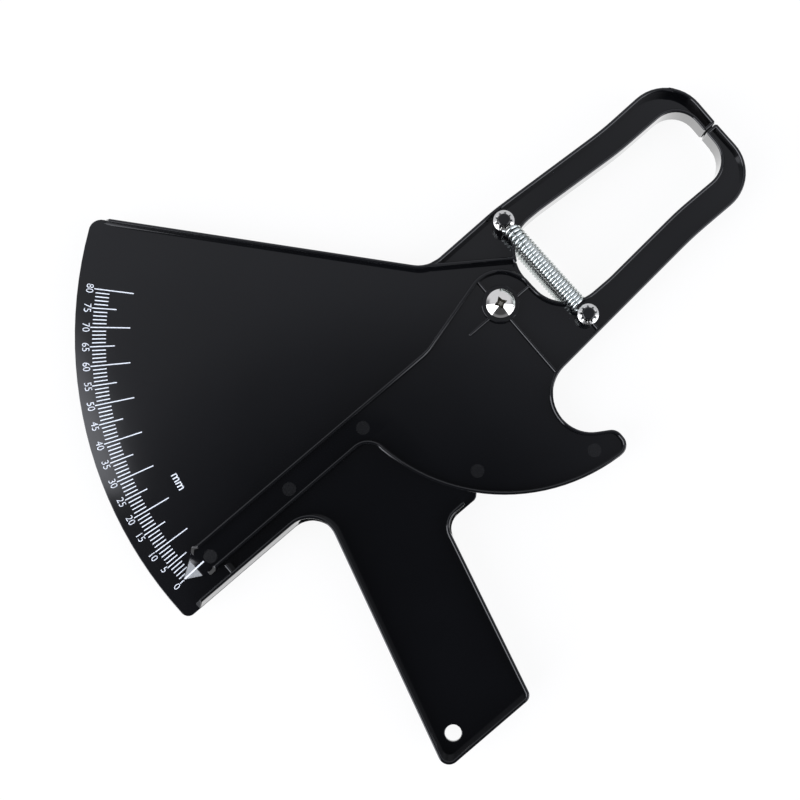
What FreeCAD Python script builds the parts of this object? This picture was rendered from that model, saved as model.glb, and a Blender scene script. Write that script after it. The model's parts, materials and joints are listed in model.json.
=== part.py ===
import FreeCAD
import Part

import math
import os

# Skinfold caliper, in millimetres.
#
# Two ribbed plastic mouldings turn on one pivot. The body frame carries the fixed
# jaw, the scale sector and the pistol handle. The lever carries the moving jaw, the
# finger trigger and the pointer. A pair of extension springs, one on each face,
# hangs between a peg on each moulding and pulls the jaws together.
#
# The model is drawn with the pivot axis at the origin, +X towards the jaws and +Z
# out of the scale face. At the end it is moved so that the origin is at the centre
# of the underside of its box.

Vector = FreeCAD.Vector
UP = Vector(0, 0, 1)

# --- Travel -------------------------------------------------------------------
JAW_REACH = 108.4  # pivot to the middle of the jaw faces
JAW_OPENING = 85.0  # widest gap between the jaw faces
TRAVEL_DEG = 2 * math.degrees(math.asin(JAW_OPENING / 2 / JAW_REACH))

# --- Moulding sections --------------------------------------------------------
HALF_DEPTH = 6.35  # rims stand this far from the middle plane
LAP_GAP = 0.2  # half of the gap between the two lapped webs
WEB = 2.4  # web thickness
RIM = 1.5  # rim width
RIB = 1.2  # stiffening ribs
RIB_TOP = 5.6  # ribs end this far from the middle plane, just under the rims
THROUGH = 20.0  # half length of a cutter that passes through everything

# --- Hub ----------------------------------------------------------------------
HUB_R = 14.0  # round end of each moulding about the pivot
HUB_SWELL = 0.5  # the lever's hub stands this far out beside the jaw window
FRAME_HUB_X = 15.0  # and the frame's reaches this far
BOSS_R = 7.5
BORE_R = 4.0  # both mouldings, on the sleeve
SLEEVE_R = 3.95
SLEEVE_BORE_R = 3.05
HEAD_SEAT = HALF_DEPTH + 0.1  # the sleeve holds the screw head off the turning boss
SCREW_R = 3.0
HEAD_R = 6.05
HEAD_H = 3.6
WASHER_R = 6.5
WASHER_T = 1.0
NUT_FLATS = 10.0
NUT_H = 5.0
NUT_COLLAR_H = 1.2

# --- Spring pegs and springs --------------------------------------------------
FRAME_PEG = Vector(22.0, 23.8, 0)
LEVER_PEG = Vector(23.3, -26.1, 0)
PEG_BASE_R = 3.7
PEG_SHOULDER = 9.5  # height of the shoulder the spring hook sits on
PEG_R = 2.55
PEG_TIP = 13.9
SPRING_LEVEL = 10.2  # height of the spring axes above the middle plane
SPRING_R = 3.5
WIRE_R = 0.68
HOOK_R = 3.3  # centre line of the hook loop round the peg
FRAME_NECK = 4.6  # frame peg's centre to the first close coil
LEVER_NECK = 5.6  # last close coil to the lever peg's centre
RETAINER_R = 4.3
RETAINER_T = 0.5
RETAINER_TEETH = 9

# --- Sector and scale plate ---------------------------------------------------
SECTOR_CENTRE = Vector(-12.3, -5.8, 0)
SECTOR_R = 166.7
SECTOR_FOOT_Y = -12.9
LEDGE = 1.2  # the web and the back rim stand out this far below the front rim
TOP_EDGE_SLOPE = -1.1602
TOP_EDGE_RISE = 15.6  # height of the top edge's line at the pivot
SECTOR_BARE = 5.5  # the rims stop at least this far short of the curved edge
RIM_SLOPE = 3.4  # length over which a rim's end slopes down to the web
TOP_RIM_END_X = -99.6
FOOT_RIM_END_X = -172.1
STOP_NIB_X = (-152.5, -151.3)  # upright rib under the pointer at zero
STOP_NIB_TOP_Y = -7.4

# --- Handle -------------------------------------------------------------------
HANDLE_BACK = (-102.95, 0.2800)  # where the edge meets the pivot's level, and its lean
HANDLE_GRIP = (-60.14, 0.2580)
HANDLE_END_Y = -127.75
HANDLE_TOP_Y = -51.8
HANG_HOLE = Vector(-127.0, -118.95, 0)
HANG_HOLE_R = 3.4
HANDLE_RIM_END = (-63.6, HANDLE_TOP_Y + RIM / 2)

# --- Lever --------------------------------------------------------------------
BELLY_CENTRE = Vector(1.4, -0.9, 0)
BELLY_R = 76.7
POINTER_TOP_Y = 5.9
POINTER_FOOT_Y = -6.2
POINTER_TIP = Vector(-169.6, -0.9, 0)
POINTER_TIP_TOP = 1.0  # height of the bevelled tip at its point
MARK_R = 2.9  # shallow round marks that the ejector pins leave in the web
MARK_DEPTH = 0.15
MARK_SIDES = 24
MARKS = [(-154.6, -0.9), (-112.9, -1.0), (-74.3, -1.6), (-50.5, -44.8), (-9.3, -69.2)]
TIP_BEVEL_X = -161.95  # the tip slopes down from here
SHOULDER_FOOT_X = -159.5  # the rims slope from the web here
SHOULDER_TOP_X = -155.4  # up to full height here
STOP_WALL_X = -1.6  # left face of the wall where the lever becomes full depth
STOP_CLEARANCE = 0.7


def point(x, y):
    return Vector(x, y, 0)


def turned(vector, degrees):
    angle = math.radians(degrees)
    x = vector.x * math.cos(angle) - vector.y * math.sin(angle)
    y = vector.x * math.sin(angle) + vector.y * math.cos(angle)
    return Vector(x, y, vector.z)


def on_circle(centre, radius, degrees):
    angle = math.radians(degrees)
    return centre + Vector(radius * math.cos(angle), radius * math.sin(angle), 0)


def tangent_to_hub(radius, degrees, x):
    """Where the tangent to a circle about the pivot meets an upright line."""
    angle = math.radians(degrees)
    return point(x, (radius - x * math.cos(angle)) / math.sin(angle))


def line(a, b):
    return Part.LineSegment(a, b).toShape()


def arc(a, middle, b):
    return Part.Arc(a, middle, b).toShape()


def corner_arc(before, corner, after, radius):
    """Start, middle and end of the arc that rounds one corner."""
    back = (before - corner).normalize()
    ahead = (after - corner).normalize()
    half = math.acos(max(-1.0, min(1.0, back.dot(ahead)))) / 2
    reach = radius / math.tan(half)
    inward = (back + ahead).normalize()
    centre = corner + inward * (radius / math.sin(half))
    return corner + back * reach, centre - inward * radius, corner + ahead * reach


def rounded_path(corners):
    """Edges from the first corner to the last; each (x, y, radius) between is rounded."""
    places = [point(c[0], c[1]) for c in corners]
    edges = []
    here = places[0]
    for k in range(1, len(places) - 1):
        if corners[k][2] == 0:
            edges.append(line(here, places[k]))
            here = places[k]
            continue
        start, middle, end = corner_arc(places[k - 1], places[k], places[k + 1], corners[k][2])
        edges.append(line(here, start))
        edges.append(arc(start, middle, end))
        here = end
    edges.append(line(here, places[-1]))
    return edges


def polygon(corners):
    """A face whose every corner (x, y, radius) is rounded, closed on itself."""
    first = point(*corners[0][:2])
    last = point(*corners[-1][:2])
    middle = (first + last) * 0.5
    seam = (middle.x, middle.y, 0)
    return Part.Face(Part.Wire(rounded_path([seam] + corners + [seam])))


def circle_corner(centre, radius, start, heading, inward, r, forward):
    """Rounds the corner where a line meets the inside of a circle.

    Returns the tangent point on the line, the arc's middle and the tangent point on
    the circle. forward picks the meeting point along the line's heading.
    """
    base = start + inward * r - centre
    along = base.dot(heading)
    rest = math.sqrt(along * along - base.dot(base) + (radius - r) ** 2)
    step = -along + rest if forward else -along - rest
    hub = centre + base + heading * step
    on_line = hub - inward * r
    outward = (hub - centre).normalize()
    on_arc = centre + outward * radius
    middle = hub + ((on_line - hub) + (on_arc - hub)).normalize() * r
    return on_line, middle, on_arc


def plate(face, z0, z1):
    moved = face.copy()
    moved.translate(Vector(0, 0, z0))
    return moved.extrude(Vector(0, 0, z1 - z0))


def disc(radius, z0, z1, at=Vector(0, 0, 0)):
    return Part.makeCylinder(radius, z1 - z0, Vector(at.x, at.y, z0), UP)


def ring(outer, inner, z0, z1, at=Vector(0, 0, 0)):
    return disc(outer, z0, z1, at).cut(disc(inner, z0 - 1, z1 + 1, at))


def prism(radius, sides, z0, z1, at=Vector(0, 0, 0)):
    """A disc with flat sides; the radius is to its corners."""
    corners = [on_circle(at, radius, 360.0 * k / sides) for k in range(sides + 1)]
    return plate(Part.Face(Part.makePolygon(corners)), z0, z1)


def block(x0, x1, y0, y1, z0, z1):
    return Part.makeBox(x1 - x0, y1 - y0, z1 - z0, Vector(x0, y0, z0))


def strip(a, b, width, z0, z1):
    """A straight rib from a to b."""
    along = (b - a).normalize()
    side = Vector(-along.y, along.x, 0) * (width / 2)
    ring = Part.makePolygon([a + side, b + side, b - side, a - side, a + side])
    return plate(Part.Face(ring), z0, z1)


def rim_of(face, width=RIM):
    """The band of a face within width of its edge."""
    return face.cut(face.makeOffset2D(-width))


def rim_end(x, y, z0, z1):
    """The round end of a rim that stops short."""
    return disc(RIM / 2, z0, z1, point(x, y))


def rim_end_slope(x, y, heading, root, top):
    """What is cut from a rim's end so that it slopes from its top down to the web."""
    clear = top + math.copysign(1, top)
    profile = [(-6, root), (0, root), (RIM_SLOPE, top), (RIM_SLOPE, clear), (-6, clear), (-6, root)]
    section = Part.Face(Part.makePolygon([Vector(along, -RIM, z) for along, z in profile]))
    wedge = section.extrude(Vector(0, 2 * RIM, 0))
    wedge.rotate(Vector(0, 0, 0), UP, heading)
    wedge.translate(point(x, y))
    return wedge


def fuse(first, others):
    return first.fuse(others).removeSplitter()


def handle_x(y, edge):
    level, lean = edge
    return level + lean * y


def top_edge_y(x):
    return TOP_EDGE_RISE + TOP_EDGE_SLOPE * x


# --- Body frame ---------------------------------------------------------------
def stop_edge(depth):
    """A place on the edge that the lever's full-depth wall meets when fully open."""
    reach = STOP_WALL_X - STOP_CLEARANCE
    return turned(point(reach, -depth), -TRAVEL_DEG)


def frame_outline(ledge):
    """The frame's whole outline: arm, sector and handle, lower by the ledge underneath."""
    foot_y = SECTOR_FOOT_Y - ledge
    handle_top_y = HANDLE_TOP_Y - ledge
    heading = point(-1, -TOP_EDGE_SLOPE).normalize()
    inward = point(heading.y, -heading.x) * -1
    neck_x = -12.4
    neck = point(neck_x, top_edge_y(neck_x))
    top = circle_corner(SECTOR_CENTRE, SECTOR_R, neck, heading, inward, 5.0, True)
    foot = circle_corner(
        SECTOR_CENTRE, SECTOR_R, point(0, foot_y), point(1, 0), point(0, 1), 3.6, False
    )
    hub_start = on_circle(point(0, 0), HUB_R - 0.2, -25)
    hub_side = tangent_to_hub(HUB_R - 0.2, -25, FRAME_HUB_X)
    upper = [
        (0, 0, 0),
        (hub_start.x, hub_start.y, 0),
        (hub_side.x, hub_side.y, 10.0),
        (FRAME_HUB_X, 18.5, 15.5),
        (36, 18.1, 60),
        (76, 15.05, 120),
        (107, 15.3, 11),
        (107, -0.2, 0),
        (107.8, -0.95, 0),
        (111.9, -0.95, 0),
        (112.65, -0.2, 0),
        (112.65, 27.5, 17.7),
        (76, 26.65, 120),
        (22.5, 30.4, 80),
        (neck.x, neck.y, 13),
        (top[0].x, top[0].y, 0),
    ]
    stop_foot = stop_edge(78.6)
    stop_head = stop_edge(8.0)
    lower = [
        (foot[0].x, foot[0].y, 0),
        (handle_x(foot_y, HANDLE_BACK), foot_y, 11.0),
        (handle_x(HANDLE_END_Y, HANDLE_BACK), HANDLE_END_Y, 4.5),
        (handle_x(HANDLE_END_Y, HANDLE_GRIP), HANDLE_END_Y, 3.5),
        (handle_x(handle_top_y, HANDLE_GRIP), handle_top_y, 7.5),
        (stop_foot.x, handle_top_y, 3.0),
        (stop_head.x, stop_head.y, 0),
        (0, 0, 0),
    ]
    middle = on_circle(SECTOR_CENTRE, SECTOR_R, 150)
    edges = rounded_path(upper)
    edges.append(arc(*top))
    edges.append(arc(top[2], middle, foot[2]))
    edges.append(arc(*reversed(foot)))
    edges += rounded_path(lower)
    face = Part.Face(Part.Wire(edges))
    hub = Part.Face(Part.Wire(Part.makeCircle(HUB_R - 0.2)))
    return face.fuse(hub).removeSplitter().Faces[0]


def peg(at):
    """A spring peg through the moulding, shouldered alike on both faces."""
    base = disc(PEG_BASE_R, -PEG_SHOULDER, PEG_SHOULDER, at)
    pin = disc(PEG_R, -PEG_TIP, PEG_TIP, at)
    ends = [e for e in pin.Edges if abs(abs(e.BoundBox.ZMin) - PEG_TIP) < 0.01 and e.Length < 20]
    ends = [e for e in ends if e.BoundBox.ZLength < 0.01]
    return base.fuse(pin.makeChamfer(0.4, ends))


def body_frame():
    front = frame_outline(0)
    back = frame_outline(LEDGE)
    web_low = -LAP_GAP - WEB
    web = plate(back, web_low, -LAP_GAP)
    beyond = Part.Face(Part.Wire(Part.makeCircle(SECTOR_R + 10, SECTOR_CENTRE)))
    beyond = beyond.cut(Part.Face(Part.Wire(Part.makeCircle(SECTOR_R - SECTOR_BARE, SECTOR_CENTRE))))
    along_scale = polygon([(-200, -20, 0), (-80, -20, 0), (-80, 150, 0), (-200, 150, 0)])
    bare = beyond.common(along_scale)
    under_lever = polygon(
        [(-63.6, -60, 0), (-63.6, -40, 0), (-30, -10, 0), (-30, 8, 0), (17.5, 8.6, 0), (30, -60, 0)]
    )
    back_rim = plate(rim_of(back).cut(bare), -HALF_DEPTH, -LAP_GAP)
    front_rim = plate(rim_of(front).cut([bare, under_lever]), -LAP_GAP - 0.5, HALF_DEPTH)
    neck_rib = strip(point(-11.0, 29.75), point(16.2, 10.2), RIM, -HALF_DEPTH, HALF_DEPTH)
    boss = disc(BOSS_R, -HALF_DEPTH, -LAP_GAP)
    rib_foot = web_low + 0.2
    spokes = [(0, HUB_R - 1), (90, 20.6), (180, 26), (250, HUB_R - 1)]
    ribs = []
    for angle, end in spokes:
        inner = turned(point(BOSS_R - 1, 0), angle)
        ribs.append(strip(inner, turned(point(end, 0), angle), RIB, -RIB_TOP, rib_foot))
    ribs.append(strip(FRAME_PEG, FRAME_PEG + point(0, 6.2), RIB, -RIB_TOP, RIB_TOP))
    ribs.append(block(*STOP_NIB_X, SECTOR_FOOT_Y + 1, STOP_NIB_TOP_Y, -LAP_GAP - 0.2, 4.4))
    ends = [rim_end(-11.0, 29.75, -HALF_DEPTH, HALF_DEPTH)]
    ends.append(rim_end(*HANDLE_RIM_END, -LAP_GAP - 0.5, HALF_DEPTH))
    lean = math.degrees(math.atan(TOP_EDGE_SLOPE))
    top_rim_y = top_edge_y(TOP_RIM_END_X) - RIM / 2 / math.cos(math.radians(lean))
    slopes = []
    for foot_y, root, top in (
        (SECTOR_FOOT_Y, -LAP_GAP, HALF_DEPTH),
        (SECTOR_FOOT_Y - LEDGE, web_low, -HALF_DEPTH),
    ):
        slopes.append(rim_end_slope(TOP_RIM_END_X, top_rim_y, lean, root, top))
        slopes.append(rim_end_slope(FOOT_RIM_END_X, foot_y + RIM / 2, 0, root, top))
    body = fuse(web, [back_rim, front_rim, neck_rib, boss, peg(FRAME_PEG)] + ribs + ends)
    holes = [disc(BORE_R, -THROUGH, THROUGH), disc(HANG_HOLE_R, -THROUGH, THROUGH, HANG_HOLE)]
    return body.cut(holes + slopes).removeSplitter()


# --- Lever --------------------------------------------------------------------
def lever_outline():
    """Moving jaw, hub, finger hook, trigger and pointer in one outline."""
    hub_start = on_circle(point(0, 0), HUB_R, 105.1)
    hub_end = on_circle(point(0, 0), HUB_R, 25)
    hub_side = tangent_to_hub(HUB_R, 25, HUB_R + HUB_SWELL)
    jaw_and_trigger = [
        (hub_end.x, hub_end.y, 0),
        (hub_side.x, hub_side.y, 10.0),
        (hub_side.x, -20.4, 17.0),
        (40, -20.4, 60),
        (78, -17.6, 120),
        (107, -17.8, 11),
        (107.05, -2.0, 0),
        (107.8, -1.25, 0),
        (111.9, -1.25, 0),
        (112.65, -2.0, 0),
        (113.3, -30.1, 17.1),
        (76, -30.0, 150),
        (-11.2, -36.8, 15.2),
        (-11.0, -59.6, 15.3),
        (2.75, -68.2, 5.0),
        (2.75, -77.45, 5.0),
        (-3.6, -77.45, 0),
    ]
    belly_start = on_circle(BELLY_CENTRE, BELLY_R, -93.8)
    belly_end = on_circle(BELLY_CENTRE, BELLY_R, -170.6)
    crook_r = belly_end.y - POINTER_FOOT_Y
    crook = point(belly_end.x + crook_r, POINTER_FOOT_Y)
    crook_centre = point(belly_end.x + crook_r, belly_end.y)
    pointer = [
        (crook.x, crook.y, 0),
        (SHOULDER_TOP_X, POINTER_FOOT_Y, 0),
        (-156.2, -6.8, 0.6),
        (-158.9, -6.8, 1.0),
        (POINTER_TIP.x, POINTER_TIP.y, 0),
        (TIP_BEVEL_X, 3.7, 0),
        (-157.6, 6.8, 0.6),
        (SHOULDER_TOP_X, POINTER_TOP_Y, 0),
        (-34.5, 5.3, 20),
        (hub_start.x, hub_start.y, 0),
    ]
    edges = rounded_path(jaw_and_trigger)
    edges.append(line(point(-3.6, -77.45), belly_start))
    edges.append(arc(belly_start, on_circle(BELLY_CENTRE, BELLY_R, -130), belly_end))
    edges.append(arc(belly_end, on_circle(crook_centre, -crook_r, 45), crook))
    edges += rounded_path(pointer)
    edges.append(arc(hub_start, on_circle(point(0, 0), HUB_R, 60), hub_end))
    return Part.Face(Part.Wire(edges))


def pointer_bevels(web_top):
    """What is cut away so that the rims slope down to the tip and the tip to its point."""
    head = HALF_DEPTH + 1
    profile = [
        (-175, POINTER_TIP_TOP),
        (POINTER_TIP.x, POINTER_TIP_TOP),
        (TIP_BEVEL_X, web_top),
        (SHOULDER_FOOT_X, web_top),
        (SHOULDER_TOP_X, HALF_DEPTH),
        (SHOULDER_TOP_X, head),
        (-175, head),
        (-175, POINTER_TIP_TOP),
    ]
    section = Part.Face(Part.makePolygon([Vector(x, -12, z) for x, z in profile]))
    return section.extrude(Vector(0, 24, 0))


def lever():
    face = lever_outline()
    web_top = LAP_GAP + WEB
    web = plate(face, LAP_GAP, web_top)
    rim = rim_of(face, RIM - 0.1)
    front_rim = plate(rim, LAP_GAP, HALF_DEPTH)
    # Behind the lap the jaw arm is full depth, clear of the frame's hub.
    arm = polygon([(STOP_WALL_X, -37, 0), (STOP_WALL_X, 0, 0), (125, 0, 0), (125, -37, 0)])
    clear_of_hub = Part.Face(Part.Wire(Part.makeCircle(HUB_R + 3.0)))
    back_face = face.common(arm).cut(clear_of_hub).Faces[0]
    back_rim = plate(rim_of(back_face), -HALF_DEPTH, LAP_GAP + 0.2)
    boss = disc(BOSS_R, LAP_GAP, HALF_DEPTH)
    rib_low = web_top - 0.2
    ribs = [
        strip(point(-0.9, BOSS_R - 1), point(-0.9, HUB_R - 1), RIB, rib_low, RIB_TOP),
        strip(point(BOSS_R - 1, -1.8), point(HUB_R - 0.6, -1.8), RIB, rib_low, RIB_TOP),
        strip(point(-0.7, -BOSS_R + 1), point(-0.7, -35), RIB, rib_low, RIB_TOP),
        strip(LEVER_PEG, LEVER_PEG + point(0, -7.2), RIB, -RIB_TOP, RIB_TOP),
    ]
    spur = Part.makePolygon(
        [
            Vector(-6.5, -1.9, web_top - 0.2),
            Vector(-6.5, -1.9, RIB_TOP),
            Vector(-17.6, -1.9, web_top + 0.2),
            Vector(-17.6, -1.9, web_top - 0.2),
            Vector(-6.5, -1.9, web_top - 0.2),
        ]
    )
    ribs.append(Part.Face(spur).extrude(Vector(0, RIB, 0)))
    body = fuse(web, [front_rim, back_rim, boss, peg(LEVER_PEG)] + ribs)
    body = body.cut([disc(BORE_R, -THROUGH, THROUGH), pointer_bevels(web_top)])
    floor = web_top - MARK_DEPTH
    return body.cut([prism(MARK_R, MARK_SIDES, floor, web_top + 1, point(x, y)) for x, y in MARKS])


# --- Pivot hardware -----------------------------------------------------------
def pivot_screw():
    """Pan-head screw with a cross recess."""
    tip = -HALF_DEPTH - WASHER_T - NUT_H - 1.2
    top = HEAD_SEAT + HEAD_H
    outline = [
        (0, tip),
        (SCREW_R, tip),
        (SCREW_R, HEAD_SEAT),
        (HEAD_R, HEAD_SEAT),
        (HEAD_R, HEAD_SEAT + 1.3),
        (HEAD_R * 0.9, HEAD_SEAT + HEAD_H * 0.7),
        (HEAD_R * 0.6, HEAD_SEAT + HEAD_H * 0.93),
        (0, top),
        (0, tip),
    ]
    section = Part.makePolygon([Vector(r, 0, z) for r, z in outline])
    screw = Part.Face(section).revolve(Vector(0, 0, 0), UP, 360)
    across = block(-2.6, 2.6, -0.55, 0.55, HEAD_SEAT + 1.4, top + 1)
    along = block(-0.55, 0.55, -2.6, 2.6, HEAD_SEAT + 1.4, top + 1)
    return screw.cut([across, along])


def lock_nut():
    """Hexagon nut with a round nylon collar."""
    top = -HALF_DEPTH - WASHER_T
    corner_r = NUT_FLATS / 2 / math.cos(math.radians(30))
    body = prism(corner_r, 6, top - NUT_H + NUT_COLLAR_H, top)
    collar = disc(NUT_FLATS / 2 - 0.3, top - NUT_H, top - NUT_H + NUT_COLLAR_H)
    return body.fuse(collar).cut(disc(SCREW_R, -THROUGH, 0))


# --- Springs ------------------------------------------------------------------
def spring_half(start, finish, neck, level):
    """One half of an extension spring: the hook round its peg and half of the coils.

    The close coils are one solid bar, and the wire of the hook is squared off.
    """
    along = (finish - start).normalize()
    length = (finish - start).Length / 2
    low = level - WIRE_R
    high = level + WIRE_R
    first_coil = start + Vector(0, 0, level) + along * neck
    coils = Part.makeCylinder(SPRING_R, length - neck, first_coil, along)
    hook = ring(HOOK_R + WIRE_R, HOOK_R - WIRE_R, low, high, start)
    shank = strip(start + along * HOOK_R, start + along * (neck + WIRE_R), 2 * WIRE_R, low, high)
    return coils.fuse([hook, shank])


def retainer(at, level):
    """Push-on star ring: a thin disc whose inner teeth grip the peg."""
    tip_r = PEG_R + 0.09
    root_r = PEG_R + 0.85
    step = 360.0 / RETAINER_TEETH
    corners = []
    for k in range(RETAINER_TEETH):
        for offset, radius in ((-12, tip_r), (12, tip_r), (14, root_r), (step - 14, root_r)):
            corners.append(on_circle(point(0, 0), radius, k * step + offset))
    star = Part.Face(Part.makePolygon(corners + corners[:1]))
    outer = Part.Face(Part.Wire(Part.makeCircle(RETAINER_R)))
    washer = plate(outer.cut(star), level, level + RETAINER_T)
    washer.translate(at)
    return washer


def build():
    hook_top = SPRING_LEVEL + WIRE_R + 0.05
    hook_under = -hook_top - RETAINER_T
    return {
        "body_frame": body_frame(),
        "lever": lever(),
        "pivot_screw": pivot_screw(),
        "pivot_sleeve": ring(SLEEVE_R, SLEEVE_BORE_R, -HALF_DEPTH, HEAD_SEAT),
        "thrust_washer": ring(WASHER_R, SLEEVE_R + 0.05, -LAP_GAP + 0.02, LAP_GAP - 0.02),
        "rear_washer": ring(WASHER_R, SCREW_R + 0.05, -HALF_DEPTH - WASHER_T, -HALF_DEPTH),
        "lock_nut": lock_nut(),
        "front_spring_frame_end": spring_half(FRAME_PEG, LEVER_PEG, FRAME_NECK, SPRING_LEVEL),
        "front_spring_lever_end": spring_half(LEVER_PEG, FRAME_PEG, LEVER_NECK, SPRING_LEVEL),
        "rear_spring_frame_end": spring_half(FRAME_PEG, LEVER_PEG, FRAME_NECK, -SPRING_LEVEL),
        "rear_spring_lever_end": spring_half(LEVER_PEG, FRAME_PEG, LEVER_NECK, -SPRING_LEVEL),
        "front_retainer_frame": retainer(FRAME_PEG, hook_top),
        "front_retainer_lever": retainer(LEVER_PEG, hook_top),
        "rear_retainer_frame": retainer(FRAME_PEG, hook_under),
        "rear_retainer_lever": retainer(LEVER_PEG, hook_under),
    }


def main():
    parts = build()
    box = FreeCAD.BoundBox()
    for shape in parts.values():
        box.add(shape.optimalBoundingBox(False))
    home = Vector(-box.Center.x, -box.Center.y, -box.ZMin)
    os.makedirs("parts", exist_ok=True)
    for name, shape in parts.items():
        shape.translate(home)
        shape.exportStep(f"parts/{name}.step")
        state = "valid" if shape.isValid() else "NOT VALID"
        print(f"{name:26} {len(shape.Solids)} solid {state} {shape.Volume / 1000:8.3f} cm3")
    print("box", [round(v, 2) for v in (box.XLength, box.YLength, box.ZLength)])
    print("pivot at", [round(v, 3) for v in home], "travel", round(TRAVEL_DEG, 2))
    pull = LEVER_PEG - FRAME_PEG
    opened = turned(LEVER_PEG, -TRAVEL_DEG) - FRAME_PEG
    swing = math.degrees(math.atan2(opened.y, opened.x) - math.atan2(pull.y, pull.x))
    print("spring", round(pull.Length, 3), "to", round(opened.Length, 3), "swing", round(swing, 3))


main()
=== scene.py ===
import json
import math

import bmesh
import bpy
from mathutils import Matrix, Vector


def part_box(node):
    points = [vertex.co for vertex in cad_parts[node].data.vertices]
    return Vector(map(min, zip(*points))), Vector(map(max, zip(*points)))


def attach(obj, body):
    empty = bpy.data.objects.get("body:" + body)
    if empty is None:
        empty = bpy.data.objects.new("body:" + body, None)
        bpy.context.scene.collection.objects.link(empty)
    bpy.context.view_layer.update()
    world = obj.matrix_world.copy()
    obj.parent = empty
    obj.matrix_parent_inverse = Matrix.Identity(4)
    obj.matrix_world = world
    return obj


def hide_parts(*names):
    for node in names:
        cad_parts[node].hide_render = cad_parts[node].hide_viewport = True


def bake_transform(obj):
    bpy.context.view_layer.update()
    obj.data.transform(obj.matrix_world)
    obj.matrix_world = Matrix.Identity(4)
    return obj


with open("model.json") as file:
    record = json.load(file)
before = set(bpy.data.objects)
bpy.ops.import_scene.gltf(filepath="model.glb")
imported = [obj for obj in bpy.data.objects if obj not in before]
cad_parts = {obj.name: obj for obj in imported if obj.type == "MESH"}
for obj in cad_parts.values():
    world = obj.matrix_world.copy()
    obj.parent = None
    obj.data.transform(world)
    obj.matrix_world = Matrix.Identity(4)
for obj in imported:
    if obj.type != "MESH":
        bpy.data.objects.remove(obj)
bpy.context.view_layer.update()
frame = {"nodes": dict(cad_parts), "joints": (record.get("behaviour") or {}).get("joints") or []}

# Skinfold caliper lying on its back, scale side up. Sizes are in millimetres and places
# are counted from the pivot, +X towards the jaws and +Z out of the scale side. at()
# turns them into the frame's metres.

MM = 0.001
JOINTS = {joint["name"]: joint for joint in frame["joints"]}
PIVOT = Vector(JOINTS["lever_pivot"]["pos_m"])

# --- Heights above the middle plane -------------------------------------------
FRAME_WEB_TOP = -0.2
LEVER_WEB_TOP = 2.6
LEVER_TIP_TOP = 1.0
TIP_BEVEL_X = -161.95  # the pointer's face slopes from here to its tip
TIP_X = -169.6
INK = 0.03  # thickness of the print

# --- Mouldings ----------------------------------------------------------------
# Edges by the width of the narrower face beside them: from, to, rounding, segments.
WIDEST = 1e9
RIM_EDGES = (1.3, 1.7, 0.6, 5)  # rims are round all over
RIB_EDGES = (1.0, 1.3, 0.45, 4)
PLATE_EDGES = (1.7, WIDEST, 0.3, 3)
STEP_EDGES = (0.3, 1.0, 0.1, 1)  # narrow steps, such as the peg tips
PLASTIC_EDGES = (RIM_EDGES, RIB_EDGES, PLATE_EDGES, STEP_EDGES)
NUT_EDGES = (0.7, WIDEST, 0.3, 3)
WASHER_EDGES = (0.3, WIDEST, 0.15, 2)
SHARP_DEG = 30  # edges that bend less are left alone
SMOOTH_DEG = 40
BROAD_FACE = 0.001  # area of a web's face, in square metres
HUB_R = 7.6  # the washer covers the hub's face behind HUB_BACK, so its edges stay sharp
HUB_BACK = -6.2

EJECTOR_MARKS = [(-154.6, -0.9), (-112.9, -1.0), (-74.3, -1.6), (-50.5, -44.8), (-9.3, -69.2)]
MARK_R = 2.9
MARK_FADE = 0.2  # width of a mark's soft edge
MARK_DEPTH = 0.15

JAW_LINE_Y = -1.1  # the closed jaws meet here
JAW_REACH = (100.0, 101.0)  # the faces that meet begin between these
JAW_BAND = (0.3, 0.6)  # half the width of the dull band, before and after its soft edge

ARM_END = (-85.0, -60.0)  # the pointer's long arm ends between these
ARM_HALF = 7.0
ARM_WARP = 0.035  # slope by which it lies askew

# The foot of the sector: the ledge below its rim's outer wall, and the corners at the
# wall's root with how far each moves outwards.
LEDGE_X = (-175.4, -119.0)
LEDGE_Y = -14.1
LEDGE_WIDTH = 1.85
LEDGE_DROP = 0.46
LEDGE_KEPT = 0.1  # share of its width that the leaning wall leaves
FOOT_WALL = {(-117.99, -13.34): 0.6, (-116.52, -13.88): 0.45, (-115.15, -14.62): 0.25}

# The spur beside the pivot's boss: its far end, and how much higher its top stands there.
SPUR_END = [(-17.6, -1.9), (-17.6, -0.7)]
SPUR_LOW = LEVER_WEB_TOP + 0.2
SPUR_LIFT = 2.3

NEAR = 0.01  # heights and places this close are the same
CORNER_REACH = 0.1  # a corner lies this close to its given place

# --- Pivot screw --------------------------------------------------------------
SHANK_R = 3.0
SHANK_TIP_R = 2.4
TIP_CHAMFER = 0.3
THREAD_DEPTH = 0.35
THREAD_PITCH = 0.8
THREAD_TURNS = 4
THREAD_END = 4.2  # the plain shank starts here
HEAD_R = 5.8
HEAD_H = 3.6
HEAD_CHAMFER = 0.25  # below the head
HEAD_EDGE = 1.3  # straight side of the head
HEAD_ROUND = 0.15
HEAD_RIM = [(0, 0.2), (0.04, 0.08), (HEAD_ROUND, 0)]  # its rounding: how far in and down
HEAD_SIDES = 64
DOME_DEG = 42  # slope of the dome at its edge
DOME_R = (HEAD_R - HEAD_ROUND) / math.sin(math.radians(DOME_DEG))
DOME_STEPS = 12
DOME_TOP_R = 0.02
RECESS_REACH = 3.25
RECESS_WAIST = 1.65  # half width of an arm where it meets the others
RECESS_DEPTH = 2.2
RECESS_TAPER = 0.35  # size of the recess at its bottom against its top
RECESS_TURN = -21.6
SCREW_SMOOTH_DEG = 30

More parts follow.
